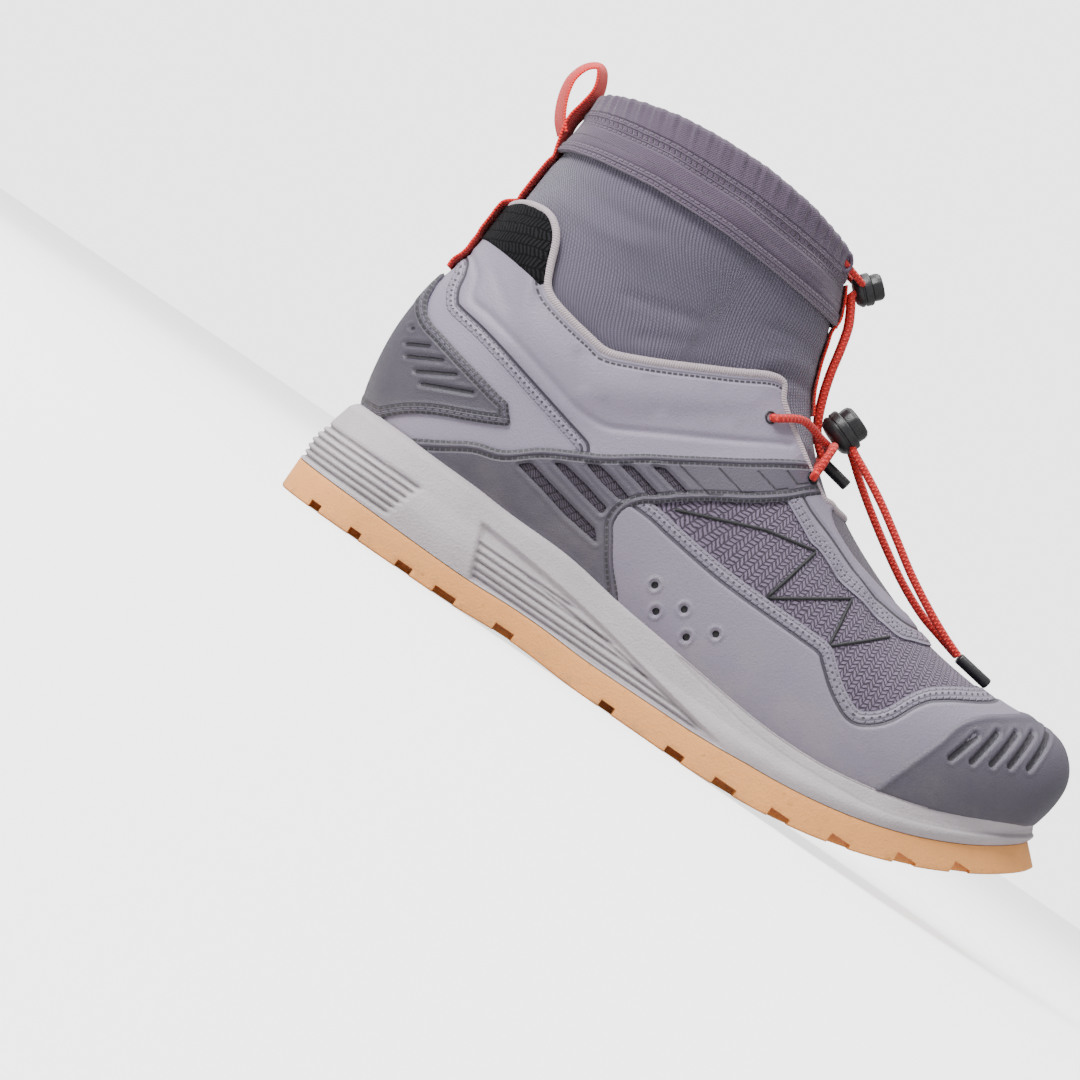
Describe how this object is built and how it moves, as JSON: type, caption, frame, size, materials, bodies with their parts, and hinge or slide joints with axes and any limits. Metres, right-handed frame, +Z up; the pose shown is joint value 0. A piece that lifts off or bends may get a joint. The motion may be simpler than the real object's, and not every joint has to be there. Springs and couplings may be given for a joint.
{
  "type": "gaiter trail boot",
  "caption": "Mid-height trail boot for the right foot: moulded cage and toe cap, lugged sole, knitted gaiter with a drawcord cuff.",
  "frame": {"origin": "on the floor under the middle of the heel, where the flat heel tread rests", "axes": "+Z up, +X towards the toe, -Y towards the outer side of the foot"},
  "size_m": [0.3, 0.1105, 0.1892],
  "materials": {
    "gum_rubber": "matt gum rubber",
    "foam": "matt moulded foam",
    "insole_foam": "cloth over foam",
    "coated_fabric": "coated fabric with a fine grain",
    "moulded_grey": "satin moulded polymer",
    "coated_light": "light coated fabric",
    "knit": "ribbed knit",
    "woven": "fine woven cloth",
    "webbing": "woven webbing",
    "cord": "braided elastic cord",
    "hard_black": "satin black plastic"
  },
  "bodies": {
    "root": {"outsole": "gum_rubber", "midsole": "foam", "insole": "insole_foam", "upper": "coated_fabric", "toe_cap": "moulded_grey", "toe_guard": "coated_light", "heel_counter": "moulded_grey", "outer_cage": "moulded_grey", "inner_cage": "moulded_grey", "vamp_plate": "coated_light", "gaiter": "knit", "cuff": "woven", "pull_loop": "webbing", "front_band": "webbing", "lace_crossing": "cord", "lace_end_outer": "cord", "lace_end_inner": "cord", "lace_tip": "hard_black", "drawcord_outer": "cord", "drawcord_inner": "cord", "drawcord_tip": "hard_black", "lower_lock_body": "hard_black", "lower_lock_button": "hard_black", "upper_lock_body": "hard_black", "upper_lock_button": "hard_black", "outer_grommet": "hard_black", "inner_grommet": "hard_black"}
  },
  "joints": []
}
